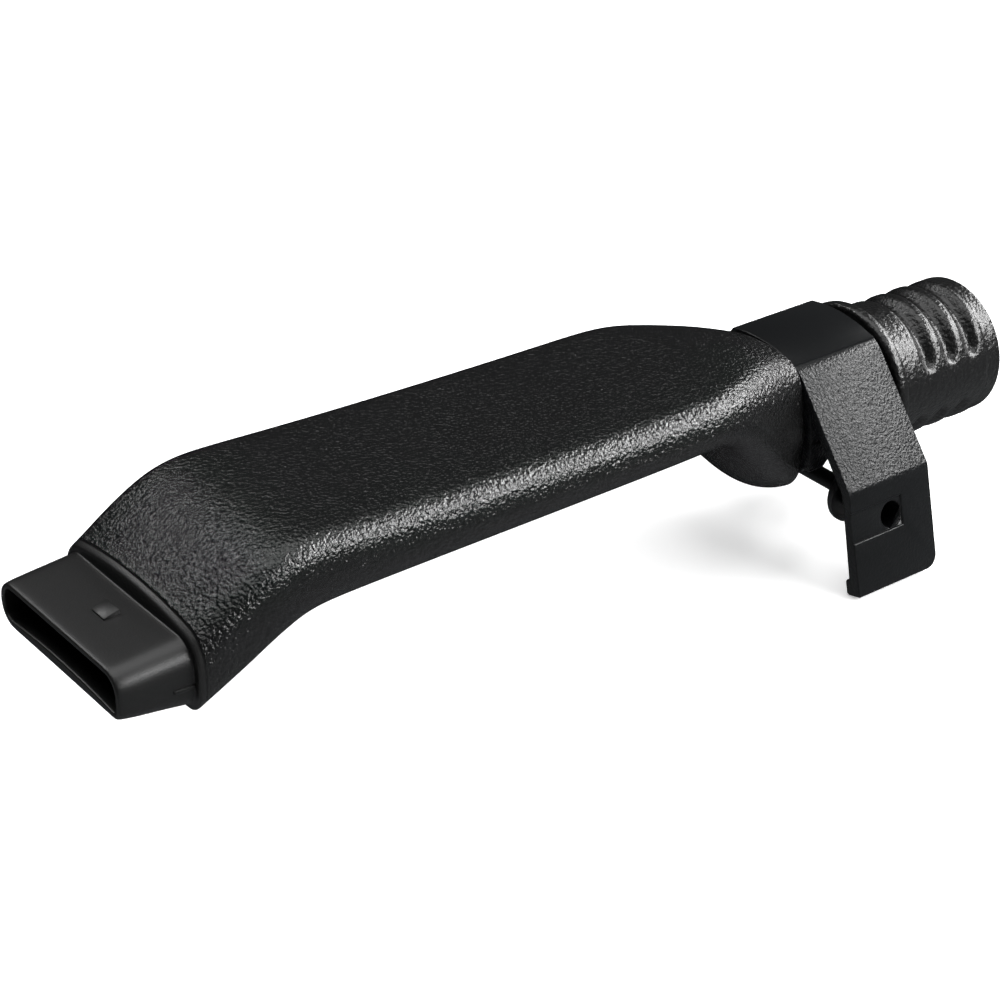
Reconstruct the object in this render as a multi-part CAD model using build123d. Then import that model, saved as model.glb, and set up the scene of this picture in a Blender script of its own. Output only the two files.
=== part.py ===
from build123d import *
import os
from math import atan2, cos, radians, sin, sqrt

# Dust-extraction nozzle: a flat blow-moulded duct with a round hose neck, and a moulded
# saddle bracket clipped round the neck with a captive clamp screw under it.
# Millimetres. The origin is the centre of the hose neck's rim. +X leaves through the neck,
# the duct runs along -X, +Z is up, and the bracket's long leg hangs on the -Y side.

os.makedirs("parts", exist_ok=True)

# ---- hose neck
neck_length = 80.0          # shoulder to rim
neck_radius = 21.3          # plain collar at the rim
collar_length = 6.3
thread_radius = 21.6        # thread lands
neck_bore_radius = 16.6
seat_radius = 18.4          # round seat that the bracket turns on
seat_length = 34.0
flange_width = 4.2
flange_radius = 24.8
flange_round = 1.6
rim_round = 0.8
groove_pitch = 9.0
groove_count = 3
groove_depth = 1.6
groove_tool_radius = 2.2
groove_rim_distance = 11.6  # last groove to rim, where the groove meets the near parting line
groove_gap = 21.0           # degrees left plain each side of the parting plane

# ---- flat duct
duct_half_width = 33.0
duct_top = 31.0             # above the neck's axis
duct_height = 18.4
duct_corner = 7.5
duct_wall = 1.8
front_rise = 2.1            # the top stands this much higher where the front slope starts
side_crown = 0.25           # draft that meets at the parting line
face_crown = 0.3
run_length = 212.3          # shoulder to front lip
middle_drop = 0.2           # the top falls faster along the front half of the run
rear_taper = 50.0
rear_drop = 1.0             # the top has come down this far where the taper starts
parting_at_shoulder = 0.8
front_slope = 40.0

# ---- front lip and spigot
lip_centre = 6.8
lip_half_height = 11.3
lip_corner = 7.0
lip_crown = 3.2             # the lip's top is bowed, and flattens along the front slope
lip_raise = 1.8
spigot_length = 20.7
spigot_step = 2.1
spigot_corner = 7.0
mouth_centre = 7.7
mouth_half_width = 30.1
mouth_half_height = 6.7
mouth_corner = 5.0
mouth_tight_corner = 2.4    # the lower near corner, where the mould closes
spigot_wall = 1.5
latch_length = 5.0
latch_width = 6.0
latch_height = 1.4
latch_setback = 5.6         # lip to latch heel
latch_offset = -3.2
rib_length = 6.5
rib_height = 0.7
rib_width = 1.0

# ---- shoulder, where the duct becomes the neck
shoulder_crest = 23.9
shoulder_corner_y = 17.5
shoulder_corner_z = 20.9
shoulder_round = 6.0
shoulder_side = 20.6
shoulder_base_y = 19.4      # the underside's corners stand wider than the top's
bulge_radius = 22.8

# ---- saddle bracket
bracket_width = 31.9
bracket_play = 0.3          # round the seat and at the shoulder
ring_wall = 3.3
strap_thickness = 3.2
leg_thickness = 4.0
strap_bend_y = -15.0
strap_bend_z = 20.1
strap_crest_y = 2.5
knee_y = -38.9
knee_z = -10.1
leg_length = 32.2
leg_splay = 13.4            # degrees outwards
far_corner_y = 13.5
far_corner_z = 23.0
face_y = 22.6               # flat face that bears on the machine
face_top = 11.0
plate_thickness = 3.3
plate_chamfer = 8.5         # on the far plate's two lower corners
hook_width = 8.6
hook_end = 212.0            # degrees round the neck
pad_face_y = -22.1
pad_top = -1.4
pad_bottom = -10.3
access_hole_radius = 3.9
recess_depth = 0.6
recess_length = 20.0
recess_high = 6.2
recess_low = 15.4           # down the leg
leg_foot_round = 4.0
barb_height = 1.4
barb_width = 5.0
guide_wall = 1.7
guide_end_y = -29.6         # the driver guide stops short of the cup

# ---- clamp screw
screw_radius = 2.6
screw_clearance = 0.15
screw_gap = 0.2             # between the screw and the neck's seat
screw_drop = seat_radius + screw_gap + screw_radius
head_radius = 4.25
head_length = 2.9
socket_across = 4.0
socket_depth = 2.6
cup_radius = 9.0
cup_wall = 1.0
cup_depth = 2.0
cup_rim_y = -25.3
tip_reach = 6.0             # tip beyond the bearing face
boss_radius = 6.6
boss_length = 17.0
pocket_radius = 4.9
pocket_depth = 9.4
washer_radius = 4.6
washer_thickness = 1.4
screw_travel = 6.0

shoulder_x = -neck_length
lip_x = shoulder_x - run_length
mouth_x = lip_x - spigot_length
duct_bottom = duct_top - duct_height
bracket_x = shoulder_x + bracket_play
bracket_middle = bracket_x + bracket_width / 2
screw_z = -screw_drop
leg_direction = (-sin(radians(leg_splay)), -cos(radians(leg_splay)))
leg_inward = (cos(radians(leg_splay)), -sin(radians(leg_splay)))


def section_plane(x):
    return Plane(origin=(x, 0, 0), x_dir=(0, 1, 0), z_dir=(1, 0, 0))


def duct_section(x, top, parting, base, crest, keel, corner, wall=0.0):
    """A moulded section: crowned top and bottom, sides that meet at the parting line."""
    top_y, top_z = top[0] - wall, top[1] - wall
    side_y, side_z = parting[0] - wall, parting[1]
    base_y, base_z = base[0] - wall, base[1] + wall
    right = [(top_y, top_z), (side_y, side_z), (base_y, base_z)]
    left = [(-y, z) for y, z in reversed(right)]
    outline = (
        ThreePointArc(left[2], (0, crest - wall), right[0])
        + Line(right[0], right[1])
        + Line(right[1], right[2])
        + ThreePointArc(right[2], (0, keel + wall), left[0])
        + Line(left[0], left[1])
        + Line(left[1], left[2])
    )
    face = make_face(outline)
    corners = [v for v in face.vertices() if abs(v.Y - side_z) > 1e-6]
    face = fillet(corners, max(corner - wall, 1.0))
    return section_plane(x) * face


def flat_section(x, top, bottom, corner=duct_corner, wall=0.0, crown=face_crown):
    middle = (top + bottom) / 2
    return duct_section(
        x,
        (duct_half_width, top - crown),
        (duct_half_width + side_crown, middle),
        (duct_half_width, bottom + face_crown),
        top,
        bottom,
        corner,
        wall,
    )


def between(low, high, share):
    return low + (high - low) * share


def front_sections(wall=0.0):
    """From the bowed lip up the front slope to the main run."""
    lip_top = lip_centre + lip_half_height + lip_raise
    lip_bottom = lip_centre - lip_half_height
    high_top = duct_top + front_rise
    sections = []
    for share, top_rise, bottom_rise, bow in (
        (0.0, 0.0, 0.0, 1.0),
        (0.28, 0.44, 0.30, 0.6),
        (0.55, 0.82, 0.62, 0.25),
        (0.78, 0.97, 0.85, 0.0),
        (1.0, 1.0, 0.97, 0.0),
    ):
        sections.append(flat_section(
            lip_x + front_slope * share,
            between(lip_top, high_top, top_rise),
            between(lip_bottom, duct_bottom, bottom_rise),
            between(lip_corner, duct_corner, share),
            wall,
            between(face_crown, lip_crown, bow),
        ))
    return sections


def rear_sections(wall=0.0):
    """The top closes in on the shoulder while the underside swells down to the neck."""
    main_end = shoulder_x - rear_taper
    main_top = duct_top - rear_drop
    keel_corner_z = -sqrt(bulge_radius**2 - shoulder_base_y**2) - 1.5
    shoulder_crown = shoulder_crest - shoulder_corner_z
    sections = []
    for share, narrow, crest_fall, side_fall, base_fall, keel_fall, corner in (
        (0.0, 0.0, 0.0, 0.0, 0.0, 0.0, 1.0),
        (0.26, 0.07, -0.05, 0.08, 0.0, 0.06, 1.05),
        (0.46, 0.26, 0.03, 0.25, 0.17, 0.34, 1.35),
        (0.68, 0.55, 0.27, 0.55, 0.54, 0.73, 1.4),
        (0.86, 0.81, 0.62, 0.82, 0.85, 0.93, 1.2),
        (1.0, 1.0, 1.0, 1.0, 1.0, 1.0, shoulder_round / duct_corner),
    ):
        crest = between(main_top, shoulder_crest, crest_fall)
        half_width = between(duct_half_width, shoulder_corner_y, narrow)
        base_width = between(duct_half_width, shoulder_base_y, narrow)
        side_y = between(duct_half_width + side_crown, shoulder_side, narrow)
        side_z = between((duct_top + duct_bottom) / 2, parting_at_shoulder, side_fall)
        base_z = between(duct_bottom + face_crown, keel_corner_z, base_fall)
        keel = between(duct_bottom, -bulge_radius, keel_fall)
        sections.append(duct_section(
            between(main_end, shoulder_x, share),
            (half_width, crest - between(face_crown, shoulder_crown, share)),
            (side_y, side_z),
            (base_width, base_z),
            crest,
            keel,
            duct_corner * corner,
            wall,
        ))
    return sections


def duct_loft(wall=0.0):
    front = front_sections(wall)
    rear = rear_sections(wall)
    middle_x = (lip_x + front_slope + shoulder_x - rear_taper) / 2
    middle = flat_section(middle_x, duct_top - middle_drop, duct_bottom, duct_corner, wall)
    return loft(front) + loft([front[-1], middle, rear[0]]) + loft(rear)


def spigot_section(x, centre, half_width, half_height, corner, near_corner, wall=0.0):
    """Rounded rectangle whose lower near corner has its own radius."""
    size_y = 2 * (half_width - wall)
    size_z = 2 * (half_height - wall)
    face = Rectangle(size_y, size_z)
    tight = face.vertices().sort_by(Axis.X)[:2].sort_by(Axis.Y)[0]
    others = [v for v in face.vertices() if v != tight]
    face = fillet(others, corner - wall)
    tight = face.vertices().sort_by_distance((-size_y / 2, -size_z / 2))[0]
    face = fillet(tight, max(near_corner - wall, 0.6))
    return section_plane(x) * Pos(0, centre) * face


def spigot(wall=0.0, root=4.0):
    root_width = duct_half_width - spigot_step
    root_height = lip_half_height - spigot_step
    root_near_corner = spigot_corner * 0.7
    return loft([
        spigot_section(mouth_x, mouth_centre, mouth_half_width, mouth_half_height,
                       mouth_corner, mouth_tight_corner, wall),
        spigot_section(lip_x, lip_centre, root_width, root_height,
                       spigot_corner, root_near_corner, wall),
        spigot_section(lip_x + root, lip_centre + root / 2, root_width, root_height,
                       spigot_corner, root_near_corner, wall),
    ], ruled=True)


def thread_grooves():
    """Half-turn grooves of a left-handed hose thread, stopped short of the parting plane."""
    tool_path_radius = thread_radius - groove_depth + groove_tool_radius
    arc = 180.0 - 2 * groove_gap
    cutters = []
    for turn in range(groove_count):
        near_x = -groove_rim_distance - turn * groove_pitch
        for start_angle in (180.0 - groove_gap, 360.0 - groove_gap):
            start_x = near_x - groove_pitch * (start_angle - 150.0) / 360.0
            start = Plane(
                origin=(start_x, 0, 0),
                x_dir=(0, cos(radians(start_angle)), sin(radians(start_angle))),
                z_dir=(1, 0, 0),
            )
            height = groove_pitch * arc / 360.0
            path = start * Helix(groove_pitch, height, tool_path_radius, lefthand=True)
            profile = Plane(origin=path @ 0, z_dir=path % 0) * Circle(groove_tool_radius)
            cutters.append(sweep(profile, path=path))
            for end in (path @ 0, path @ 1):
                cutters.append(Pos(*end) * Sphere(groove_tool_radius))
    return cutters


def x_cylinder(radius, start, length):
    return Plane(origin=(start, 0, 0), z_dir=(1, 0, 0)) * Cylinder(
        radius, length, align=(Align.CENTER, Align.CENTER, Align.MIN))


def y_cylinder(radius, start, length, x=bracket_middle, z=screw_z):
    return Plane(origin=(x, start, z), z_dir=(0, 1, 0)) * Cylinder(
        radius, length, align=(Align.CENTER, Align.CENTER, Align.MIN))


def make_neck():
    seat = x_cylinder(seat_radius, shoulder_x - 2, seat_length + 4)
    flange = x_cylinder(flange_radius, shoulder_x + seat_length, flange_width)
    flange = fillet(flange.edges().filter_by(GeomType.CIRCLE), flange_round)
    collar = x_cylinder(neck_radius, -collar_length - 2, collar_length + 2)
    rim = collar.edges().filter_by(GeomType.CIRCLE).sort_by(Axis.X)[-1]
    collar = fillet(rim, rim_round)
    thread_start = shoulder_x + seat_length + 1
    thread = collar + x_cylinder(thread_radius, thread_start, -collar_length - thread_start)
    for cutter in thread_grooves():
        thread = thread - cutter
    return seat + flange + thread


def latch_wedge():
    """Catch on top of the spigot: low at the front, steep at the back."""
    heel = lip_x - latch_setback
    top = lip_centre + lip_half_height - spigot_step
    side = Plane.XZ * make_face(Polyline(
        (heel - latch_length, top - 2), (heel, top - 2), (heel, top + latch_height - 0.5),
        (heel - latch_length, top - 0.9), close=True))
    return Pos(0, latch_offset + latch_width / 2, 0) * extrude(side, amount=latch_width)


def side_rib():
    """Short rib on the near side of the spigot, against the lip."""
    side_y = -(duct_half_width - spigot_step)
    return Pos(lip_x - rib_length / 2, side_y, lip_centre - 2) * Box(
        rib_length, 2 * rib_height, rib_width)


def make_duct_body():
    body = duct_loft() + spigot() + make_neck() + latch_wedge() + side_rib()
    cavity = duct_loft(duct_wall)
    lip_wall = x_cylinder(200, mouth_x - 1, spigot_length + 1 + duct_wall)
    cavity = cavity - lip_wall
    bore = x_cylinder(neck_bore_radius, shoulder_x - 3 * duct_wall, neck_length + 10)
    shoulder_wall = x_cylinder(200, shoulder_x - duct_wall, 20)
    cavity = cavity - shoulder_wall
    return body - cavity - spigot(spigot_wall) - bore


def strap_outline():
    """The bracket seen along the neck: flat face, top arc, near slope and long leg."""
    foot = (knee_y + leg_direction[0] * leg_length, knee_z + leg_direction[1] * leg_length)
    crest = (strap_crest_y, shoulder_crest)
    slope = Vector(knee_y - strap_bend_y, knee_z - strap_bend_z).normalized()
    slope_in = (-slope.Y, slope.X)
    bend_in = (strap_bend_y + slope_in[0] * strap_thickness, strap_bend_z + slope_in[1] * strap_thickness)
    turn = (atan2(leg_direction[1], leg_direction[0]) - atan2(slope.Y, slope.X)) / 2
    miter = strap_thickness / cos(turn)
    knee_normal = Vector(slope_in[0] + leg_inward[0], slope_in[1] + leg_inward[1]).normalized()
    knee_in = (knee_y + knee_normal.X * miter, knee_z + knee_normal.Y * miter)
    foot_in = (foot[0] + leg_inward[0] * leg_thickness, foot[1] + leg_inward[1] * leg_thickness)
    return foot, crest, bend_in, knee_in, foot_in


def make_bracket():
    foot, crest, bend_in, knee_in, foot_in = strap_outline()
    bore_radius = seat_radius + bracket_play
    ring_radius = bore_radius + ring_wall
    plate_bottom = screw_z - boss_radius
    outline = (
        Line(foot, (knee_y, knee_z))
        + Line((knee_y, knee_z), (strap_bend_y, strap_bend_z))
        + ThreePointArc((strap_bend_y, strap_bend_z), crest, (far_corner_y, far_corner_z))
        + Line((far_corner_y, far_corner_z), (face_y, face_top))
        + Line((face_y, face_top), (face_y, plate_bottom))
        + Line((face_y, plate_bottom), (face_y - plate_thickness, plate_bottom))
        + Line((face_y - plate_thickness, plate_bottom), (face_y - plate_thickness, 0))
        + Line((face_y - plate_thickness, 0), (0, 0))
        + Line((0, 0), bend_in)
        + Line(bend_in, knee_in)
        + Line(knee_in, foot_in)
        + Line(foot_in, foot)
    )
    strap = extrude(section_plane(bracket_x) * make_face(outline), amount=bracket_width)
    plate_edges = strap.edges().filter_by(Axis.Y).sort_by(Axis.Z)[:2]
    strap = chamfer(plate_edges, plate_chamfer)
    # clip ring: all of it stands on the seat, and its hook reaches round the near side
    ring = x_cylinder(ring_radius, bracket_x, hook_width)
    hook_angle = radians(hook_end)
    far_angle = radians(-50)
    reach = 60
    keep = make_face(Polyline(
        (0, 0),
        (reach * cos(far_angle), reach * sin(far_angle)),
        (reach, reach),
        (-reach, reach),
        (-reach, reach * sin(hook_angle) / abs(cos(hook_angle))),
        close=True))
    ring = ring & extrude(section_plane(bracket_x - 1) * keep, amount=hook_width + 2)
    pad_depth = abs(pad_face_y) - bore_radius + 6
    pad = Pos(bracket_x, pad_face_y, pad_bottom) * Box(
        hook_width, pad_depth, pad_top - pad_bottom, align=(Align.MIN, Align.MIN, Align.MIN))
    rear_low_edge = pad.edges().filter_by(Axis.Y).sort_by(Axis.Z)[:2].sort_by(Axis.X)[-1]
    pad = chamfer(rear_low_edge, 3.0)
    boss = y_cylinder(boss_radius, face_y - boss_length, boss_length)
    bracket = strap + ring + pad + boss
    bracket = bracket - x_cylinder(bore_radius, bracket_x - 1, bracket_width + 2)
    screw_bore = y_cylinder(screw_radius + screw_clearance, face_y - boss_length - 5, boss_length + 10)
    pocket = y_cylinder(pocket_radius, face_y - pocket_depth, pocket_depth + 1)
    bracket = bracket - screw_bore - pocket
    return shape_leg(bracket)


def on_leg(x, down, depth=0.0):
    """A plane on the leg's outer face, its z axis pointing into the leg."""
    y = knee_y + leg_direction[0] * down + leg_inward[0] * depth
    z = knee_z + leg_direction[1] * down + leg_inward[1] * depth
    return Plane(origin=(x, y, z), x_dir=(1, 0, 0), z_dir=(0, leg_inward[0], leg_inward[1]))


def hole_down_leg():
    return (knee_z - screw_z) / cos(radians(leg_splay))


def shape_leg(bracket):
    """Driver guide and hole, the outside recess, the barb and the rounded foot."""
    hole_y = knee_y + leg_direction[0] * hole_down_leg()
    guide = y_cylinder(access_hole_radius + guide_wall, hole_y + 2, guide_end_y - hole_y - 2)
    hole = y_cylinder(access_hole_radius, hole_y - 10, guide_end_y - hole_y + 20)
    recess = on_leg(bracket_x + recess_length / 2 - 0.5, (recess_high + recess_low) / 2, -1) * Box(
        recess_length + 1, recess_low - recess_high, 1 + recess_depth,
        align=(Align.CENTER, Align.CENTER, Align.MIN))
    barb_length = bracket_width - leg_foot_round
    barb = on_leg(bracket_x + barb_length / 2, leg_length - barb_width / 2, leg_thickness - 0.3) * Box(
        barb_length, barb_width, barb_height + 0.3, align=(Align.CENTER, Align.CENTER, Align.MIN))
    inner_edges = barb.edges().filter_by(Axis.X).sort_by(Axis.Y)[-2:]
    barb = fillet(inner_edges, 1.0)
    bracket = bracket + guide + barb - hole - recess
    foot_edges = [e for e in bracket.edges()
                  if e.center().Z < knee_z - leg_length * 0.9
                  and e.center().X > bracket_x + bracket_width - 0.01
                  and 0.8 * leg_thickness < e.length < 1.2 * leg_thickness]
    return fillet(foot_edges, leg_foot_round)


def screw_parts():
    """The screw lies under the neck along Y, with its cup on the leg's side."""
    head_y = cup_rim_y + 0.4
    shank_start = head_y + head_length
    tip_y = face_y + tip_reach
    head = y_cylinder(head_radius, head_y, head_length)
    socket_plane = Plane(origin=(bracket_middle, head_y, screw_z), z_dir=(0, 1, 0))
    socket = extrude(socket_plane * RegularPolygon(socket_across / 2, 6, major_radius=False),
                     amount=socket_depth)
    shank = y_cylinder(screw_radius, shank_start, tip_y - shank_start)
    tip_edge = shank.edges().filter_by(GeomType.CIRCLE).sort_by(Axis.Y)[-1]
    shank = chamfer(tip_edge, 0.6)
    screw = head + shank - socket
    cup_bottom = cup_rim_y + cup_depth + cup_wall
    cup = y_cylinder(cup_radius, cup_rim_y, cup_depth + cup_wall)
    back_edge = cup.edges().filter_by(GeomType.CIRCLE).sort_by(Axis.Y)[-1]
    cup = fillet(back_edge, 2.0)
    cup = cup - y_cylinder(cup_radius - cup_wall, cup_rim_y - 1, 1 + cup_depth)
    cup = cup - y_cylinder(head_radius, cup_rim_y - 1, cup_depth + 1.2)
    cup = cup - y_cylinder(screw_radius, cup_rim_y, cup_depth + 20)
    washer_y = face_y - pocket_depth + 0.15
    washer = y_cylinder(washer_radius, washer_y, washer_thickness)
    washer = washer - y_cylinder(screw_radius + 0.02, washer_y - 1, washer_thickness + 2)
    return screw, cup, washer


def save(shape, node):
    solids = shape.solids()
    print(node, len(solids), "solids", round(shape.volume, 1), "mm3")
    export_step(shape, f"parts/{node}.step")


clamp_screw, screw_cup, retaining_washer = screw_parts()
save(make_duct_body(), "duct_body")
save(make_bracket(), "saddle_bracket")
save(clamp_screw, "clamp_screw")
save(screw_cup, "screw_cup")
save(retaining_washer, "retaining_washer")
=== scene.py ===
# %% [markdown]
# # A dust-extraction nozzle in black plastic
# The CAD model already holds every body and joint, so this lesson starts by loading it as
# a fixed frame. Everything is in metres, and the origin is the centre of the hose neck's rim.
# The duct runs along -X from there, and +Z is up.

import bmesh
import bpy
import math
from mathutils import Matrix, Vector


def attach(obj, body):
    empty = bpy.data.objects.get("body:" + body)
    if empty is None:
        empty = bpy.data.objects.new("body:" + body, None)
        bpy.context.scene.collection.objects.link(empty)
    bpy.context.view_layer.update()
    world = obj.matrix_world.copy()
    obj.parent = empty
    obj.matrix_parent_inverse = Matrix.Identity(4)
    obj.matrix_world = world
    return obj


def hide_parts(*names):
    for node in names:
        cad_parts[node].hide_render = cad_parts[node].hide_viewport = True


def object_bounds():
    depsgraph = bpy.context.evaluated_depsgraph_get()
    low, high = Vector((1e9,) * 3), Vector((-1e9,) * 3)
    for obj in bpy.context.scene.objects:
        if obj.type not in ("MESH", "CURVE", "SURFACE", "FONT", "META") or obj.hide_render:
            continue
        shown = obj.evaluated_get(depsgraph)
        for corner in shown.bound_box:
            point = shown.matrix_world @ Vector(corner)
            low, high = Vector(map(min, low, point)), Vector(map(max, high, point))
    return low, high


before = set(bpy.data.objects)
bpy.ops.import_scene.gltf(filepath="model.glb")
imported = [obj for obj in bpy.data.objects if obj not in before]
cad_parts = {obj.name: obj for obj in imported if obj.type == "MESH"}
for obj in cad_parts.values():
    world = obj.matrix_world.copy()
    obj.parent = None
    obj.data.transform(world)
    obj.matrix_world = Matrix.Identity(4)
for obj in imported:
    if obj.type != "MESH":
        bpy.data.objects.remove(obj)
cad_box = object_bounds()
scene = bpy.context.scene
bpy.ops.object.select_all(action="DESELECT")
print("nodes:", sorted(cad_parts))
print("CAD box:", cad_box)

MM = 0.001

# %% [markdown]
# ## Camera
# The nozzle lies across the view from the lower left to the upper right. The camera stands
# on the mouth's side, on the side of the bracket's long leg, and looks down at about 29
# degrees. A long lens keeps the duct's sides nearly parallel.

# %% Camera
CAMERA_PLACE = Vector((-552.7, -497.3, 354.8)) * MM
CAMERA_AZIMUTH = math.radians(-37.15)
CAMERA_HEIGHT = math.radians(29.4)
CAMERA_ROLL = math.radians(0.09)
LENS = 93.6

looking = Vector((math.cos(CAMERA_HEIGHT) * -math.sin(CAMERA_AZIMUTH),
                  math.cos(CAMERA_HEIGHT) * math.cos(CAMERA_AZIMUTH),
                  -math.sin(CAMERA_HEIGHT)))
bpy.ops.object.camera_add(location=CAMERA_PLACE)
camera = bpy.context.object
camera.data.lens = LENS
camera.data.clip_start = 0.01
camera.data.dof.use_dof = False
camera.rotation_mode = "QUATERNION"
turn = looking.to_track_quat("-Z", "Y")
camera.rotation_quaternion = turn @ Matrix.Rotation(CAMERA_ROLL, 3, "Z").to_quaternion()
scene.camera = camera
print("camera looks along", tuple(round(v, 3) for v in looking))

# %% [markdown]
# ## Helpers for the shader
# A material is a tree of nodes. One small function adds a node with its settings and links.
# Colours are written as sRGB hex values, and one function turns them to linear.

# %% Colour and node helpers
def linear(hex_colour):
    """An sRGB hex value as the linear colour that a shader wants."""
    parts = [int(hex_colour[i:i + 2], 16) / 255 for i in (1, 3, 5)]
    return [p / 12.92 if p <= 0.04045 else ((p + 0.055) / 1.055) ** 2.4 for p in parts] + [1]


def add_node(tree, kind, settings=None, **inputs):
    """Adds a node, gives it its settings, and sets or links its inputs by name or number."""
    made = tree.nodes.new(kind)
    for name, value in (settings or {}).items():
        setattr(made, name, value)
    for name, value in inputs.items():
        socket = made.inputs[int(name[1:])] if name[1:].isdigit() else made.inputs[name.replace("_", " ")]
        if isinstance(value, bpy.types.NodeSocket):
            tree.links.new(value, socket)
        else:
            socket.default_value = value
    return made


def new_material(name, colour, roughness, ior):
    """A material with one plain shader: returns the material, its tree and the shader."""
    material = bpy.data.materials.new(name)
    material.use_nodes = True
    shader = material.node_tree.nodes["Principled BSDF"]
    shader.inputs["Base Color"].default_value = linear(colour)
    shader.inputs["Roughness"].default_value = roughness
    shader.inputs["IOR"].default_value = ior
    return material, material.node_tree, shader


# %% [markdown]
# ## Studio
# Black plastic shows its shape only by what it reflects. A dim sky keeps the flat top dark,
# and large soft panels draw the bright bands along the rounded corners. The floor is a pale
# paper roll that glows a little, so that shadows on it stay faint. It is hidden from
# reflections, and the lower half of the sky stands in for it there at a dimmer level.

# %% Floor, sky and panels
scene.view_settings.view_transform = "Standard"
FLOOR_SIZE = 8
floor_height = cad_box[0][2] - 0.0002
bpy.ops.mesh.primitive_plane_add(size=FLOOR_SIZE, location=(0, 0, floor_height))
floor = bpy.context.object
floor.name = "paper_floor"
paper, _, paper_shader = new_material("white_paper_roll", "#fbfbfb", 0.9, 1.5)
paper_shader.inputs["Specular IOR Level"].default_value = 0.05
paper_shader.inputs["Emission Color"].default_value = linear("#ffffff")
paper_shader.inputs["Emission Strength"].default_value = 0.45
floor.data.materials.append(paper)
floor.visible_glossy = False

SKY_DIM = 0.055
SKY_FLOOR = 0.012
FLOOR_GLOW = 0.28       # what the near side and the mouth see in the floor
GLOW_SIDE = (-0.47, -0.88, 0.0)
sky = bpy.data.worlds.new("dim_studio")
sky.use_nodes = True
tree = sky.node_tree
backdrop = tree.nodes["Background"]
backdrop.inputs["Color"].default_value = linear("#e8ecef")
direction = add_node(tree, "ShaderNodeTexCoord").outputs["Generated"]
upward = add_node(tree, "ShaderNodeSeparateXYZ", None, Vector=direction).outputs[2]
sideways = add_node(tree, "ShaderNodeVectorMath", {"operation": "DOT_PRODUCT"}, _0=direction,
                    _1=GLOW_SIDE).outputs["Value"]
below = add_node(tree, "ShaderNodeMapRange", {"interpolation_type": "SMOOTHSTEP"}, _0=upward,
                 _1=-0.35, _2=0.1, _3=1.0, _4=0.0).outputs[0]
near = add_node(tree, "ShaderNodeMapRange", {"interpolation_type": "SMOOTHSTEP"}, _0=sideways,
                _1=-0.65, _2=-0.25, _3=0.0, _4=FLOOR_GLOW).outputs[0]
above = add_node(tree, "ShaderNodeMapRange", {"interpolation_type": "SMOOTHSTEP"}, _0=upward,
                 _1=-0.35, _2=0.1, _3=SKY_FLOOR, _4=SKY_DIM).outputs[0]
glow = add_node(tree, "ShaderNodeMath", {"operation": "MULTIPLY_ADD"}, _0=below, _1=near, _2=above).outputs[0]
tree.links.new(glow, backdrop.inputs["Strength"])
scene.world = sky


def soft_panel(name, place, aim, size, power):
    """A rectangular area light whose long side stays level."""
    bpy.ops.object.light_add(type="AREA", location=place)
    panel = bpy.context.object
    panel.name = name
    panel.data.shape = "RECTANGLE"
    panel.data.size, panel.data.size_y = size
    panel.data.energy = power
    panel.rotation_mode = "QUATERNION"
    panel.rotation_quaternion = (Vector(aim) - Vector(place)).to_track_quat("-Z", "Y")
    return panel


soft_panel("near_key", (0.72, -0.62, 0.70), (-0.1, 0, 0), (1.9, 0.32), 40)
soft_panel("neck_end", (0.95, 0.15, 0.38), (-0.05, 0, 0), (0.5, 0.4), 2.2)
soft_panel("far_top", (-0.50, 0.95, 1.0), (-0.28, 0, 0), (0.35, 0.22), 4)
soft_panel("overhead", (-0.2, 0.1, 1.9), (-0.15, 0, 0), (1.8, 1.8), 24)

# %% [markdown]
# ## Tools for modelling by hand
# Each new piece starts from a primitive and is shaped in edit mode. Vertices are selected
# in code, by their place, and then an operator acts on what is selected.

# %% Select, move and apply
NEAR = 0.004 * MM


def same(a, b):
    return abs(a - b) < NEAR


def leave_edit():
    if bpy.context.mode != "OBJECT":
        bpy.ops.object.mode_set(mode="OBJECT")
    bpy.ops.object.select_all(action="DESELECT")


def make_active(piece):
    leave_edit()
    piece.select_set(True)
    bpy.context.view_layer.objects.active = piece


def empty_piece(name):
    """A new mesh piece at the origin with nothing in it, left in edit mode."""
    leave_edit()
    bpy.ops.mesh.primitive_plane_add(size=1)
    piece = bpy.context.object
    piece.name = name
    bpy.ops.object.mode_set(mode="EDIT")
    bpy.ops.mesh.select_mode(type="VERT")
    bpy.ops.mesh.select_all(action="SELECT")
    bpy.ops.mesh.delete(type="VERT")
    return piece


def pick(piece, test):
    """In edit mode, selects only the vertices whose place passes the test."""
    mesh = bmesh.from_edit_mesh(piece.data)
    for v in mesh.verts:
        v.select_set(False)
    mesh.select_flush(False)
    chosen = [v for v in mesh.verts if test(v.co)]
    for v in chosen:
        v.select_set(True)
    mesh.select_flush(True)
    bmesh.update_edit_mesh(piece.data)
    return len(chosen)


def move(by):
    bpy.ops.transform.translate(value=by)


def apply_modifiers(piece):
    """Applies every modifier on a piece, in order."""
    make_active(piece)
    for modifier in list(piece.modifiers):
        bpy.ops.object.modifier_apply(modifier=modifier.name)


def settle(piece):
    """Puts a finished piece's place into its mesh, so that its object is at the origin."""
    make_active(piece)
    bpy.ops.object.transform_apply(location=True, rotation=True, scale=True)


def face_outwards(piece):
    """In edit mode, merges doubles and turns every face outwards."""
    bpy.ops.mesh.select_all(action="SELECT")
    bpy.ops.mesh.remove_doubles(threshold=0.002 * MM)
    bpy.ops.mesh.normals_make_consistent(inside=False)


def round_off(piece, levels):
    """Subdivides a cage into its smooth surface."""
    rounding = piece.modifiers.new("round", "SUBSURF")
    rounding.levels = rounding.render_levels = levels
    apply_modifiers(piece)
    bpy.ops.object.shade_smooth()


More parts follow.
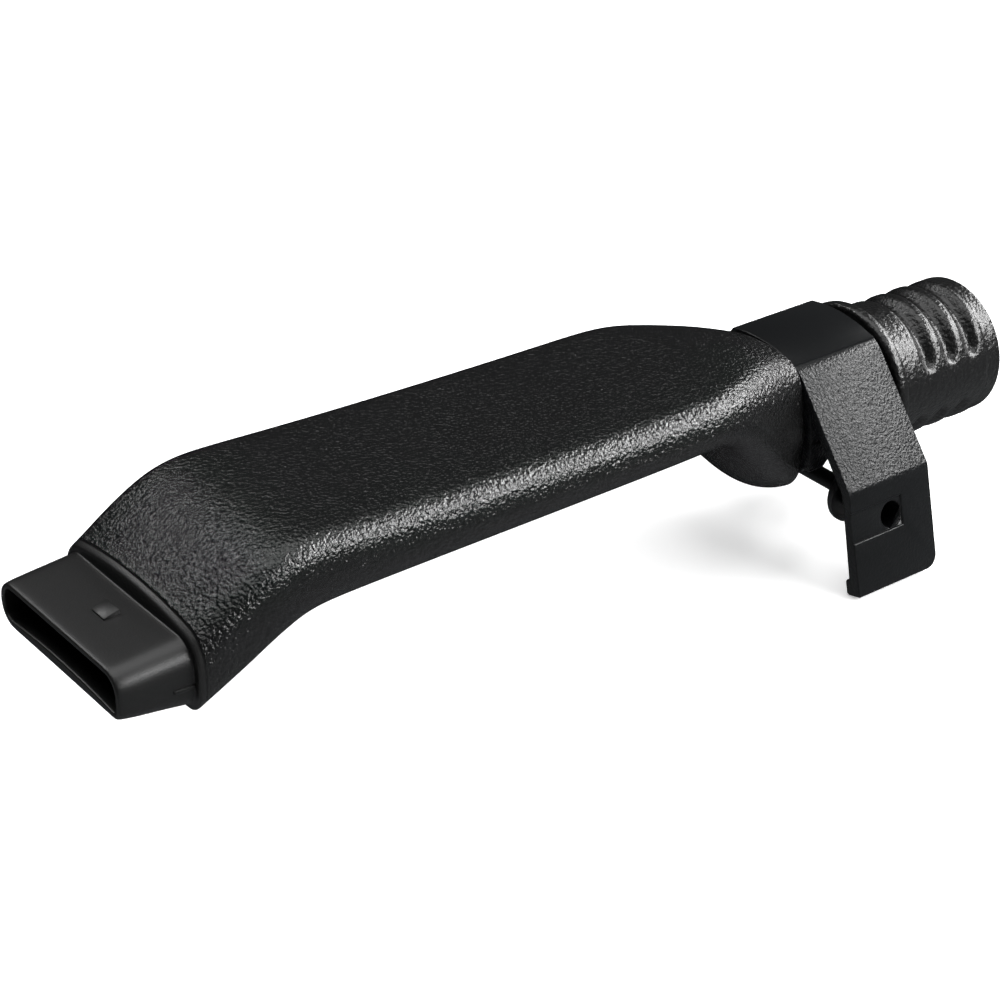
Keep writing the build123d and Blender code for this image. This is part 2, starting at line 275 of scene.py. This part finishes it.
# %% [markdown]
# ## The duct
# The real duct is blow moulded: a hot tube of plastic is closed in a mould and blown out
# against its walls, so the shell is one piece with a fairly even wall and no sharp outside
# corner. It could be a box with bevelled edges, but its section changes all the way along.
# So each section is drawn as its own ring, neighbouring rings are bridged, and a Subdivision
# Surface modifier rounds the whole as blowing does.

# %% One section of the duct
CORNER_STEPS = 6
CROWN_CUTS = 5
parting_points = []


def bend_row(piece, x, way, middle, half_width, rise):
    """Bows the upper (way 1) or lower (way -1) part of a ring into an arc across the duct."""
    mesh = bmesh.from_edit_mesh(piece.data)
    widths = sorted({round(abs(v.co.y), 7) for v in mesh.verts
                     if same(v.co.x, x) and (v.co.z - middle) * way > 0})
    for y in widths:
        lift = rise * (1 - min(y / half_width, 1) ** 2)
        pick(piece, lambda v: same(v.x, x) and (v.z - middle) * way > 0 and abs(abs(v.y) - y) < 0.2e-6)
        move((0, 0, way * lift))


def cut_side(piece, x, side, middle, half_width, height):
    """Adds the parting point half-way down one side, and moves it to its place."""
    mesh = bmesh.from_edit_mesh(piece.data)
    heights = [v.co.z for v in mesh.verts if same(v.co.x, x) and v.co.y * side > 0]
    low = max(z for z in heights if z < middle)
    high = min(z for z in heights if z > middle)
    pick(piece, lambda v: same(v.x, x) and v.y * side > 0 and low - NEAR < v.z < high + NEAR)
    bpy.ops.mesh.subdivide(number_cuts=1)
    mesh = bmesh.from_edit_mesh(piece.data)
    cut = [v.co.copy() for v in mesh.verts
           if same(v.co.x, x) and v.co.y * side > 0 and low + NEAR < v.co.z < high - NEAR][0]
    pick(piece, lambda v: (v - cut).length < NEAR)
    move((0, side * half_width * MM - cut.y, height * MM - cut.z))
    parting_points.append(Vector((x, side * half_width * MM, height * MM)))


def draw_ring(piece, x, top, base, side, rounds, bow=0.0, sag=0.0):
    """One outline across the duct, in millimetres. top and base are (half width, height at
    the middle), side is the parting point, and rounds are the corner radii from the far top
    round the near side to the far bottom. bow and sag are how far the middles stand out."""
    x = x * MM
    top_z = (top[1] - bow) * MM
    base_z = (base[1] + sag) * MM
    middle = (top_z + base_z) / 2
    bpy.ops.mesh.primitive_plane_add(size=1, location=(x, 0, 0), rotation=(0, math.pi / 2, 0))
    pick(piece, lambda v: same(v.x, x) and v.z > 0)
    bpy.ops.transform.resize(value=(1, 2 * top[0] * MM, 1), center_override=(x, 0, 0.5))
    move((0, 0, top_z - 0.5))
    pick(piece, lambda v: same(v.x, x) and same(v.z, -0.5))
    bpy.ops.transform.resize(value=(1, 2 * base[0] * MM, 1), center_override=(x, 0, -0.5))
    move((0, 0, base_z + 0.5))
    corners = [(top[0], top_z), (-top[0], top_z), (-base[0], base_z), (base[0], base_z)]
    for (y, z), radius in zip(corners, rounds):
        pick(piece, lambda v: same(v.x, x) and same(v.y, y * MM) and same(v.z, z))
        bpy.ops.mesh.bevel(offset=radius * MM, segments=CORNER_STEPS, affect="VERTICES")
    pick(piece, lambda v: same(v.x, x))
    bpy.ops.mesh.delete(type="ONLY_FACE")
    for row in (top_z, base_z):
        pick(piece, lambda v: same(v.x, x) and same(v.z, row))
        bpy.ops.mesh.subdivide(number_cuts=CROWN_CUTS)
    for way in (1, -1):
        cut_side(piece, x, way, middle, *side)
    if bow:
        bend_row(piece, x, 1, middle, top[0] * MM, bow * MM)
    if sag:
        bend_row(piece, x, -1, middle, base[0] * MM, sag * MM)


def round_hole(x, radius, points):
    bpy.ops.mesh.primitive_circle_add(vertices=points, radius=radius * MM, location=(x * MM, 0, 0),
                                      rotation=(0, math.pi / 2, 0))


def bridge(piece, from_x, to_x):
    pick(piece, lambda v: same(v.x, from_x * MM) or same(v.x, to_x * MM))
    bpy.ops.mesh.bridge_edge_loops()


# %% [markdown]
# The sections follow the mould from the mouth to the shoulder. Two rings close together make
# a tight edge, as at the mouth, at the step behind the spigot and at the shoulder's end face.

# %% The outside, from the mouth to the shoulder
OUTSIDE = [
    # x, top, base, side, rounds, bow, sag
    (-313.0, (29.6, 13.9), (29.6, 1.5), (29.6, 7.8), (5.9, 5.9, 2.9, 5.7), 0, 0),
    (-312.55, (30.1, 14.4), (30.1, 1.0), (30.1, 7.8), (6.2, 6.2, 3.2, 6.0), 0, 0),
    (-306.0, (30.4, 14.9), (30.4, -0.2), (30.4, 7.5), (6.4, 6.6, 3.8, 6.4), 0, 0),
    (-299.0, (30.6, 15.5), (30.6, -1.3), (30.6, 7.2), (6.7, 6.8, 4.4, 6.7), 0, 0),
    (-293.3, (30.9, 15.9), (30.9, -2.3), (30.9, 6.9), (6.9, 7.0, 4.8, 6.9), 0, 0),
    (-292.5, (30.9, 16.0), (30.9, -2.4), (30.9, 6.9), (7.0, 7.0, 4.9, 7.0), 0, 0),
    (-292.32, (31.3, 16.9), (31.3, -2.8), (31.3, 7.0), (7.0, 7.0, 5.4, 7.0), 1.0, 0),
    (-292.28, (32.5, 19.2), (32.5, -3.9), (32.6, 7.2), (6.8, 6.8, 6.2, 6.8), 3.6, 0),
    (-292.0, (33.0, 19.9), (33.0, -4.4), (33.1, 7.5), (7.0, 7.0, 6.6, 7.0), 3.9, 0),
    (-290.9, (33.0, 20.5), (33.0, -4.0), (33.2, 8.0), (7.0, 7.0, 6.8, 7.0), 3.8, 0),
    (-288.0, (33.0, 22.0), (33.0, -2.7), (33.2, 9.5), (7.0, 7.0, 7.0, 7.0), 3.4, 0),
    (-284.0, (33.0, 24.2), (33.0, -0.8), (33.25, 11.7), (7.1, 7.1, 7.1, 7.1), 2.6, 0),
    (-279.5, (33.0, 26.5), (33.0, 1.4), (33.25, 14.0), (7.2, 7.2, 7.2, 7.2), 1.7, 0),
    (-275.0, (33.0, 28.7), (33.0, 3.7), (33.25, 16.2), (7.2, 7.2, 7.2, 7.2), 1.2, 0),
    (-270.3, (33.0, 30.8), (33.0, 6.1), (33.25, 18.5), (7.3, 7.3, 7.3, 7.3), 0.8, 0.2),
    (-265.5, (33.0, 32.2), (33.0, 8.3), (33.25, 20.2), (7.4, 7.4, 7.4, 7.4), 0.5, 0.3),
    (-261.0, (33.0, 32.95), (33.0, 10.2), (33.25, 21.6), (7.5, 7.5, 7.5, 7.5), 0.4, 0.3),
    (-256.5, (33.0, 33.1), (33.0, 11.4), (33.25, 22.3), (7.5, 7.5, 7.5, 7.5), 0.3, 0.3),
    (-250.5, (33.0, 33.0), (33.0, 12.0), (33.25, 22.5), (7.5, 7.5, 7.5, 7.5), 0.3, 0.3),
    (-240.0, (33.0, 32.5), (33.0, 12.2), (33.25, 22.4), (7.5, 7.5, 7.5, 7.5), 0.3, 0.3),
    (-221.0, (33.0, 31.6), (33.0, 12.4), (33.25, 22.0), (7.5, 7.5, 7.5, 7.5), 0.3, 0.3),
    (-188.0, (33.0, 30.6), (33.0, 12.6), (33.25, 21.6), (7.5, 7.5, 7.5, 7.5), 0.3, 0.3),
    (-153.0, (33.0, 30.0), (33.0, 12.8), (33.25, 21.4), (7.6, 7.6, 7.5, 7.5), 0.3, 0.4),
    (-133.0, (33.0, 29.95), (33.0, 12.9), (33.25, 21.4), (7.8, 7.8, 7.5, 7.5), 0.3, 0.6),
    (-124.0, (32.7, 30.1), (32.7, 12.6), (33.0, 21.0), (8.0, 8.0, 7.6, 7.6), 0.4, 1.2),
    (-117.0, (31.9, 30.2), (32.0, 10.6), (32.4, 20.0), (8.4, 8.4, 8.0, 8.0), 0.7, 2.6),
    (-111.5, (30.6, 30.1), (31.0, 6.2), (31.3, 18.4), (9.2, 9.2, 8.6, 8.6), 1.1, 5.0),
    (-106.0, (28.6, 29.7), (29.3, -0.4), (29.8, 16.0), (9.8, 9.8, 8.8, 8.8), 1.5, 7.8),
    (-100.5, (26.5, 29.0), (27.4, -7.6), (28.2, 13.0), (10.2, 10.2, 8.4, 8.4), 1.8, 10.3),
    (-95.5, (24.3, 28.2), (25.4, -13.6), (26.3, 10.0), (10.0, 10.0, 7.8, 7.8), 2.1, 11.9),
    (-90.5, (22.0, 27.1), (23.4, -18.2), (24.2, 6.6), (9.4, 9.4, 7.0, 7.0), 2.4, 11.8),
    (-86.0, (19.8, 25.8), (21.6, -21.0), (22.5, 3.8), (8.4, 8.4, 6.2, 6.2), 2.7, 10.9),
    (-82.5, (18.2, 24.6), (20.1, -22.4), (21.2, 1.8), (7.0, 7.0, 5.2, 5.2), 2.9, 9.8),
    (-80.6, (17.6, 24.0), (19.5, -22.8), (20.7, 0.9), (6.2, 6.2, 4.6, 4.6), 3.0, 9.3),
    (-80.05, (17.3, 23.7), (19.2, -22.5), (20.4, 0.8), (6.0, 6.0, 4.4, 4.4), 3.0, 9.2),
    (-80.0, (16.3, 22.6), (18.2, -21.5), (19.4, 0.8), (6.0, 6.0, 4.4, 4.4), 3.0, 8.8),
]
HOLE_RADIUS = 17.5
RING_POINTS = 40


def close_chain(piece, chain):
    for from_x, to_x in zip(chain, chain[1:]):
        bridge(piece, from_x, to_x)


duct_shell = empty_piece("duct_shell")
for section in OUTSIDE:
    draw_ring(duct_shell, *section)
outside_end = OUTSIDE[-1][0] + 0.02
round_hole(outside_end, HOLE_RADIUS, RING_POINTS)
outside_chain = [section[0] for section in OUTSIDE] + [outside_end]
print("outside rings:", len(outside_chain))

# %% [markdown]
# The inside skips the step: the wall simply grows a little thicker there. At the mouth the
# lower wall is thick in the middle and thin towards the corners, because the tube was
# pinched there when the mould closed.

# %% The inside, and the bridge between the two skins
WALL = 1.8
INSIDE = [
    (-312.98, (28.4, 12.7), (28.3, 4.2), (28.3, 7.8), (4.6, 4.7, 1.9, 3.8), 0, -1.6),
    (-312.38, (28.2, 12.5), (28.1, 4.4), (28.1, 7.8), (4.4, 4.4, 1.9, 3.6), 0, -1.6),
    (-305.98, (28.6, 13.1), (28.5, 3.4), (28.5, 7.8), (4.6, 4.8, 2.0, 4.4), 0, -1.6),
    (-298.98, (29.0, 13.8), (29.0, 1.4), (29.0, 7.6), (4.8, 5.0, 2.0, 4.8), 0, -1.0),
    (-293.28, (29.3, 14.7), (29.3, -0.4), (29.3, 7.6), (5.2, 5.2, 3.0, 5.2), 0.4, -0.3),
    (-288.02, (30.4, 18.0), (30.4, -1.3), (30.6, 8.4), (5.2, 5.2, 5.0, 5.2), 1.4, 0),
]
for x, top, base, side, rounds, bow, sag in OUTSIDE:
    if -286 < x < -81.5:
        INSIDE.append((x + 0.02, (top[0] - WALL, top[1] - WALL), (base[0] - WALL, base[1] + WALL),
                       (side[0] - WALL, side[1]), [max(r - WALL, 1.5) for r in rounds], bow, sag))
for section in INSIDE:
    draw_ring(duct_shell, *section)
inside_end = INSIDE[-1][0] + 0.5
round_hole(inside_end, HOLE_RADIUS, RING_POINTS)
inside_chain = [section[0] for section in INSIDE] + [inside_end]
close_chain(duct_shell, outside_chain)
close_chain(duct_shell, inside_chain)
bridge(duct_shell, outside_chain[0], inside_chain[0])
bridge(duct_shell, outside_end, inside_end)
print("inside rings:", len(inside_chain))

# %% [markdown]
# The two halves of the mould meet along the parting points. Towards the shoulder the sides
# fold there into a soft crease, so those edges get a crease weight before the rounding.

# %% The parting crease and the rounding
CREASE_FROM = -135 * MM
crease_points = [p for p in parting_points if p.x > CREASE_FROM and abs(p.y) > 20 * MM]
pick(duct_shell, lambda v: any((v - p).length < NEAR for p in crease_points))
bpy.ops.transform.edge_crease(value=0.55)
face_outwards(duct_shell)
round_off(duct_shell, 2)
print("duct_shell faces:", len(duct_shell.data.polygons))
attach(duct_shell, "duct")
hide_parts("duct_body")

# %% [markdown]
# ## The hose neck
# The neck is round, so its wall is drawn once as a flat outline and spun about the duct's
# axis. A thread cut with boolean tools would leave knife edges, but this one is blown into
# half-round channels. So the wall gets close rings, a vertex group holds how deep each point
# lies in a channel, and a Displace modifier pushes the points in by that much.

# %% The neck's outline
SEAT_RADIUS = 18.4
BORE_RADIUS = 16.6
THREAD_RADIUS = 21.6
COLLAR_RADIUS = 21.3
THREAD_START = -41.6
THREAD_END = -6.4
RING_GAP = 0.55
SPIN_STEPS = 132

outline = [(-81.8, BORE_RADIUS), (-81.8, SEAT_RADIUS), (-60.0, SEAT_RADIUS), (-47.0, SEAT_RADIUS),
           (-46.0, SEAT_RADIUS + 0.3), (-46.0, 23.3), (-45.7, 24.2), (-45.0, 24.7), (-43.9, 24.8),
           (-42.8, 24.7), (-42.1, 24.2), (-41.8, 23.3), (-41.75, 22.2), (-41.65, 21.8)]
ring_count = round((THREAD_END - THREAD_START) / RING_GAP)
outline += [(THREAD_START + (THREAD_END - THREAD_START) * k / ring_count, THREAD_RADIUS)
            for k in range(ring_count + 1)]
outline += [(-6.1, 21.45), (-5.8, COLLAR_RADIUS)]
outline += [(-5.8 + 0.6 * k, COLLAR_RADIUS) for k in range(1, 9)]
outline += [(-0.6, 21.25), (-0.25, 21.05), (-0.05, 20.7), (0.0, 20.3), (0.0, 17.5), (-0.1, 17.1),
            (-0.5, 16.75), (-1.1, BORE_RADIUS), (-20.0, BORE_RADIUS), (-50.0, BORE_RADIUS)]

hose_neck = empty_piece("hose_neck")
bpy.ops.mesh.primitive_plane_add(size=1)
bpy.ops.mesh.merge(type="CENTER")
move((outline[0][0] * MM, 0, outline[0][1] * MM))
for (x0, r0), (x1, r1) in zip(outline, outline[1:]):
    bpy.ops.mesh.extrude_region_move(TRANSFORM_OT_translate={
        "value": ((x1 - x0) * MM, 0, (r1 - r0) * MM)})
bpy.ops.mesh.select_all(action="SELECT")
bpy.ops.mesh.spin(steps=SPIN_STEPS, angle=math.tau, center=(0, 0, 0), axis=(1, 0, 0))
bpy.ops.mesh.select_all(action="SELECT")
bpy.ops.mesh.remove_doubles(threshold=0.01 * MM)

# the outline's two ends meet along one last band
pick(hose_neck, lambda v: v.x < -49.9 * MM and math.hypot(v.y, v.z) < (BORE_RADIUS + 0.05) * MM)
band_ends = [-81.8, -50.0]
pick(hose_neck, lambda v: math.hypot(v.y, v.z) < (BORE_RADIUS + 0.05) * MM
                   and any(same(v.x, e * MM) for e in band_ends))
bpy.ops.mesh.bridge_edge_loops()
face_outwards(hose_neck)
leave_edit()

# %% Depth of the thread's channels
GROOVE_PITCH = 9.0
GROOVE_DEPTH = 2.3
GROOVE_REACH = 20.0     # degrees left plain each side of the parting plane
GROOVE_FADE = 13.0      # degrees over which a channel's end runs out
GROOVE_WIDTH = 3.9      # from its middle to where it meets the land
RIM_TO_GROOVE = 11.6
GROOVES = 3


def groove_depth(point):
    """0 on the plain wall and 1 at the bottom of a channel of the left-handed thread."""
    if not THREAD_START * MM < point.x < -3.5 * MM or math.hypot(point.y, point.z) < 21 * MM:
        return 0.0
    angle = math.degrees(math.atan2(point.z, point.y)) % 360
    half = angle % 180
    run = min(half, 180 - half) - GROOVE_REACH
    if run < -4:
        return 0.0
    end = min(1.0, (run + 4) / GROOVE_FADE)
    end = end * end * (3 - 2 * end)
    depth = 0.0
    for k in range(GROOVES):
        middle = -RIM_TO_GROOVE - GROOVE_PITCH * k - GROOVE_PITCH * (angle - 150) / 360
        off = abs(point.x / MM - middle) / (GROOVE_WIDTH * (0.5 + 0.5 * end))
        if off < 1:
            depth = max(depth, 0.5 + 0.5 * math.cos(math.pi * off))
    return depth * end


channels = hose_neck.vertex_groups.new(name="channels")
for v in hose_neck.data.vertices:
    depth = groove_depth(v.co)
    if depth > 0:
        channels.add([v.index], depth, "REPLACE")
press = hose_neck.modifiers.new("press_channels", "DISPLACE")
press.vertex_group = channels.name
press.mid_level = 0
press.strength = -GROOVE_DEPTH * MM
apply_modifiers(hose_neck)
bpy.ops.object.shade_smooth()
print("hose_neck faces:", len(hose_neck.data.polygons))
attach(hose_neck, "duct")
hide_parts("duct_body")

# %% [markdown]
# ## Latch and rib on the spigot
# A small ramp on top of the spigot snaps into the machine, and a rib on its near side
# lines it up. Both are moulded details a millimetre high, so each starts as a cube whose
# front is drawn down in edit mode, and a small bevel gives it the light-catching edges.

# %% Latch ramp
def block(name, low, high):
    """A cube piece between two corners given in millimetres, left in edit mode."""
    leave_edit()
    middle = [(a + b) / 2 * MM for a, b in zip(low, high)]
    bpy.ops.mesh.primitive_cube_add(size=1, location=middle, scale=[(b - a) * MM for a, b in zip(low, high)])
    piece = bpy.context.object
    piece.name = name
    settle(piece)
    bpy.ops.object.mode_set(mode="EDIT")
    bpy.ops.mesh.select_mode(type="VERT")
    return piece


def soften(piece, width, steps=2, angle=30):
    """Rounds the sharp edges of a piece."""
    edges = piece.modifiers.new("edges", "BEVEL")
    edges.width = width * MM
    edges.segments = steps
    edges.limit_method = "ANGLE"
    edges.angle_limit = math.radians(angle)
    edges.use_clamp_overlap = False
    apply_modifiers(piece)
    bpy.ops.object.shade_smooth_by_angle(angle=math.radians(35))


latch = block("spigot_latch", (-303.0, -6.6, 13.4), (-298.0, -0.4, 16.9))
pick(latch, lambda v: v.x < -302 * MM and v.z > 16 * MM)
move((0, 0, -1.2 * MM))
pick(latch, lambda v: v.x > -299 * MM and v.z > 16 * MM)
move((-0.5 * MM, 0, 0.1 * MM))
bpy.ops.mesh.select_all(action="SELECT")
leave_edit()
soften(latch, 0.22)
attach(latch, "duct")
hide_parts("duct_body")

# %% Side rib
rib = block("spigot_rib", (-299.0, -31.5, 4.2), (-292.2, -29.0, 5.3))
pick(rib, lambda v: v.x < -298 * MM and v.y < -31 * MM)
move((0.9 * MM, 0.3 * MM, 0))
leave_edit()
soften(rib, 0.25)
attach(rib, "duct")
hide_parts("duct_body")

# %% [markdown]
# ## The saddle bracket
# The bracket is injection moulded, and its CAD shape is right, but every edge of it is
# mathematically sharp. A real edge has a small radius that catches a thin line of light. So
# the piece is a copy of the CAD mesh, merged and cleaned, with its edges bevelled.

# %% Bracket with rounded edges
def copy_of(node_name, name):
    """A copy of a CAD node's mesh with merged points and flat faces joined."""
    make_active(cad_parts[node_name])
    bpy.ops.object.duplicate()
    piece = bpy.context.object
    piece.name = name
    for group in list(piece.users_collection):
        group.objects.unlink(piece)
    scene.collection.objects.link(piece)
    make_active(piece)
    bpy.ops.object.mode_set(mode="EDIT")
    bpy.ops.mesh.select_mode(type="VERT")
    bpy.ops.mesh.select_all(action="SELECT")
    bpy.ops.mesh.customdata_custom_splitnormals_clear()
    bpy.ops.mesh.remove_doubles(threshold=0.002 * MM)
    bpy.ops.mesh.dissolve_limited(angle_limit=math.radians(0.8))
    leave_edit()
    return piece


def round_bend(piece, y, z, width):
    """Rounds the bend that runs along the duct at one place, given in millimetres."""
    make_active(piece)
    bpy.ops.object.mode_set(mode="EDIT")
    bpy.ops.mesh.select_mode(type="VERT")
    found = pick(piece, lambda v: abs(v.y - y * MM) < 0.02 * MM and abs(v.z - z * MM) < 0.02 * MM)
    bpy.ops.mesh.bevel(offset=width * MM, segments=6, affect="EDGES")
    leave_edit()
    print("bend points:", found)


clip = copy_of("saddle_bracket", "clip_bracket")
round_bend(clip, -15.0, 20.1, 2.8)
round_bend(clip, -38.9, -10.1, 0.8)
make_active(clip)
soften(clip, 0.38, steps=3, angle=24)
print("clip_bracket faces:", len(clip.data.polygons))
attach(clip, "bracket")
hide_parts("saddle_bracket")

# %% [markdown]
# ## Plastics
# The duct is black polyethylene from a mould with an etched leather grain, about a
# millimetre across. The grain's slopes catch the panels as many small sparks. The spigot
# comes from a smooth part of the mould, and the neck from a polished one, where the plastic
# keeps the orange peel of the blowing. So one material holds all three, and fades from one
# to the next by the place along the duct.

# %% Fades along the duct
def fade(tree, along, start, end):
    """0 before start and 1 after end, in millimetres along the duct."""
    return add_node(tree, "ShaderNodeMapRange", {"interpolation_type": "SMOOTHSTEP"}, _0=along,
                    _1=start * MM, _2=end * MM).outputs[0]


def combine(tree, kind, a, b, c=0.0):
    """One step of arithmetic on two or three values."""
    return add_node(tree, "ShaderNodeMath", {"operation": kind}, _0=a, _1=b, _2=c).outputs[0]


def bump_from(tree, shader, height, depth):
    """Feeds a height in millimetres to the shader as a bump."""
    bump = add_node(tree, "ShaderNodeBump", None, Height=height, Distance=depth * MM, Strength=1.0)
    tree.links.new(bump.outputs["Normal"], shader.inputs["Normal"])
    return bump


# %% Black polyethylene
GRAIN_SIZE = 1.05       # etched leather grain, mm
PEBBLE_SIZE = 0.75      # the rounded islands in the grain, mm
PEEL_SIZE = 1.3         # orange peel on the neck, mm
DUST_SIZE = 0.5         # fine tooth on the smooth spigot, mm

duct_black, tree, shader = new_material("black_polyethylene", "#0d0d0d", 0.25, 1.52)
place = add_node(tree, "ShaderNodeTexCoord").outputs["Object"]
along = add_node(tree, "ShaderNodeSeparateXYZ", None, Vector=place).outputs[0]
past_lip = fade(tree, along, -290.6, -289.8)
on_neck = fade(tree, along, -79.5, -78.5)
on_duct = combine(tree, "SUBTRACT", past_lip, on_neck)
grain = add_node(tree, "ShaderNodeTexNoise", None, Vector=place, Scale=1 / (GRAIN_SIZE * MM), Detail=2.5)
pebbles = add_node(tree, "ShaderNodeTexVoronoi", {"feature": "SMOOTH_F1"}, Vector=place,
                   Scale=1 / (PEBBLE_SIZE * MM))
peel = add_node(tree, "ShaderNodeTexNoise", None, Vector=place, Scale=1 / (PEEL_SIZE * MM), Detail=3.0)
dust = add_node(tree, "ShaderNodeTexNoise", None, Vector=place, Scale=1 / (DUST_SIZE * MM), Detail=2.0)
leather = combine(tree, "ADD", combine(tree, "MULTIPLY", grain.outputs["Fac"], 0.56),
                  combine(tree, "MULTIPLY", pebbles.outputs["Distance"], 0.14))
leather = combine(tree, "MULTIPLY", leather, on_duct)
neck_relief = combine(tree, "MULTIPLY", combine(tree, "MULTIPLY", peel.outputs["Fac"], 0.40), on_neck)
spigot_relief = combine(tree, "MULTIPLY", dust.outputs["Fac"], 0.04)
relief = combine(tree, "ADD", combine(tree, "ADD", leather, neck_relief), spigot_relief)
bump_from(tree, shader, relief, 1.0)
gloss = combine(tree, "SUBTRACT", 0.40, combine(tree, "MULTIPLY", past_lip, 0.23))
gloss = combine(tree, "ADD", gloss, combine(tree, "MULTIPLY", on_neck, 0.11))
tree.links.new(gloss, shader.inputs["Roughness"])

# %% Black nylon
# The strap's top came from a polished face of the mould, its slope from a spark-eroded one,
# and the leg from a lightly grained one.
SPARK_SIZE = 0.8        # spark erosion leaves finer pits, drawn as coarse as they need to show, mm
bracket_black, tree, shader = new_material("black_nylon_spark_grain", "#0e0f10", 0.28, 1.53)
shader.inputs["Specular IOR Level"].default_value = 0.25
place = add_node(tree, "ShaderNodeTexCoord").outputs["Object"]
height = add_node(tree, "ShaderNodeSeparateXYZ", None, Vector=place).outputs[2]
below_top = combine(tree, "SUBTRACT", 1.0, fade(tree, height, 19.3, 21.0))
above_leg = fade(tree, height, -12.0, -9.5)
amount = combine(tree, "MULTIPLY", below_top, combine(tree, "MULTIPLY_ADD", above_leg, 0.75, 0.25))
sparks = add_node(tree, "ShaderNodeTexNoise", None, Vector=place, Scale=1 / (SPARK_SIZE * MM), Detail=2.0)
relief = combine(tree, "MULTIPLY", combine(tree, "MULTIPLY", sparks.outputs["Fac"], 0.42), amount)
bump_from(tree, shader, relief, 1.0)

# %% Satin nylon and black-oxide steel
# The cup and washer are moulded in a fine satin tool, so their gloss wanders a little. Black
# oxide keeps the turning marks of the steel under it, and is rubbed brighter in patches.
SATIN_SIZE = 0.9        # patches of gloss on the nylon, mm
RUB_SIZE = 2.5          # rubbed patches on the screw, mm
TURNING_SIZE = 0.4      # distance between turning marks, mm
cup_black, tree, shader = new_material("black_nylon_satin", "#121213", 0.36, 1.53)
place = add_node(tree, "ShaderNodeTexCoord").outputs["Object"]
satin = add_node(tree, "ShaderNodeTexNoise", None, Vector=place, Scale=1 / (SATIN_SIZE * MM), Detail=2.0)
bump_from(tree, shader, combine(tree, "MULTIPLY", satin.outputs["Fac"], 0.05), 1.0)
tree.links.new(combine(tree, "MULTIPLY_ADD", satin.outputs["Fac"], 0.25, 0.24), shader.inputs["Roughness"])

screw_black, tree, shader = new_material("black_oxide_steel", "#1b1b1c", 0.38, 1.5)
shader.inputs["Metallic"].default_value = 0.7
place = add_node(tree, "ShaderNodeTexCoord").outputs["Object"]
rubbed = add_node(tree, "ShaderNodeTexNoise", None, Vector=place, Scale=1 / (RUB_SIZE * MM), Detail=3.0)
marks = add_node(tree, "ShaderNodeTexWave", {"wave_type": "BANDS", "bands_direction": "Y"}, Vector=place,
                 Scale=1 / (TURNING_SIZE * MM), Distortion=1.5)
bump_from(tree, shader, combine(tree, "MULTIPLY", marks.outputs["Fac"], 0.01), 1.0)
tree.links.new(combine(tree, "MULTIPLY_ADD", rubbed.outputs["Fac"], 0.36, 0.18), shader.inputs["Roughness"])


def finish(part, material):
    part.data.materials.clear()
    part.data.materials.append(material)


for piece in (duct_shell, hose_neck, latch, rib):
    finish(piece, duct_black)
finish(clip, bracket_black)
finish(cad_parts["clamp_screw"], screw_black)
finish(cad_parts["screw_cup"], cup_black)
finish(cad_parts["retaining_washer"], cup_black)
